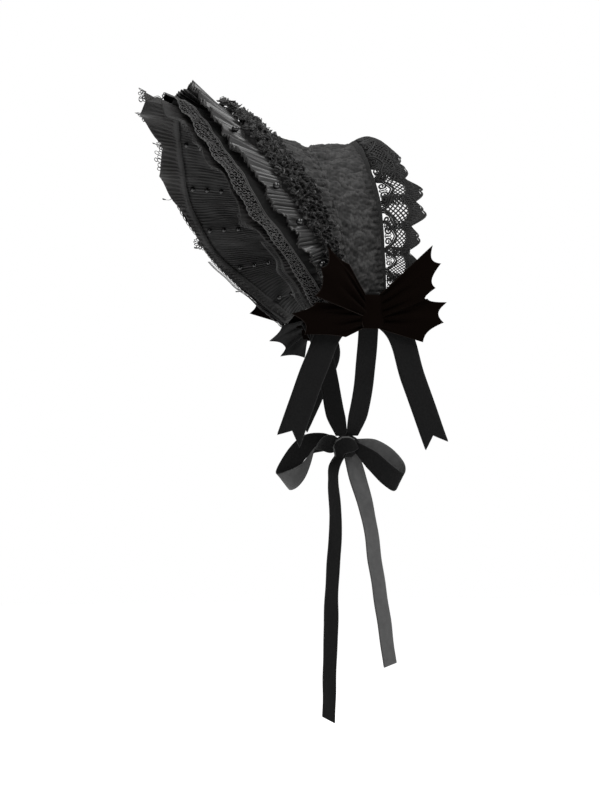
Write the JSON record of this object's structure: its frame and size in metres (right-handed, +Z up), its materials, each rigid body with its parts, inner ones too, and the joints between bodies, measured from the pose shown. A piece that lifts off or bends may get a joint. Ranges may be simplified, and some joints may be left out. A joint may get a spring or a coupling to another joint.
{
  "type": "bonnet",
  "caption": "Black half bonnet with a flared pleated brim, lace and beaded trims, a bow over each ear and a ribbon tied below the chin.",
  "frame": {"origin": "the point inside the crown that sits on top of the wearer's head", "axes": "+Z up, the wearer faces -Y, and the wearer's left is +X"},
  "size_m": [0.2244, 0.3179, 0.6876],
  "materials": {
    "brocade": "black matelasse cloth with a raised scroll pattern, low sheen",
    "stiffened": "black stiffened cloth, matt",
    "pleated": "black pleated cloth, matt",
    "sheer": "black sheer cloth with a corded edge",
    "lace": "black corded lace, matt",
    "satin": "black satin, soft sheen",
    "velvet": "black velvet with a warm deep pile",
    "ribbon": "black velvet ribbon with a matt grey back",
    "bead": "black glossy bead"
  },
  "bodies": {
    "root": {"brim": "stiffened", "brim_lining": "pleated", "crown": "brocade", "edge_lace": "lace", "gathered_lace": "lace", "left_bow_knot": "velvet", "left_bow_tail_front": "ribbon", "left_bow_tail_rear": "ribbon", "left_bow_wing_front_lower": "velvet", "left_bow_wing_front_upper": "velvet", "left_bow_wing_rear_lower": "velvet", "left_bow_wing_rear_upper": "velvet", "left_tie": "ribbon", "lining_beads_1": "bead", "lining_beads_10": "bead", "lining_beads_11": "bead", "lining_beads_2": "bead", "lining_beads_3": "bead", "lining_beads_4": "bead", "lining_beads_5": "bead", "lining_beads_6": "bead", "lining_beads_7": "bead", "lining_beads_8": "bead", "lining_beads_9": "bead", "nape_lace": "lace", "picot_lace": "lace", "pleated_trim": "satin", "right_bow_knot": "velvet", "right_bow_tail_front": "ribbon", "right_bow_tail_rear": "ribbon", "right_bow_wing_front_lower": "velvet", "right_bow_wing_front_upper": "velvet", "right_bow_wing_rear_lower": "velvet", "right_bow_wing_rear_upper": "velvet", "right_tie": "ribbon", "rim_frill": "sheer", "tie_knot": "ribbon", "tie_loop_front": "ribbon", "tie_loop_rear": "ribbon", "tie_tail_front": "ribbon", "tie_tail_rear": "ribbon", "trim_bead_1": "bead", "trim_bead_2": "bead", "trim_bead_3": "bead", "trim_bead_4": "bead", "trim_bead_5": "bead", "trim_bead_6": "bead", "trim_bead_7": "bead", "trim_bead_8": "bead", "trim_bead_9": "bead"}
  },
  "joints": []
}
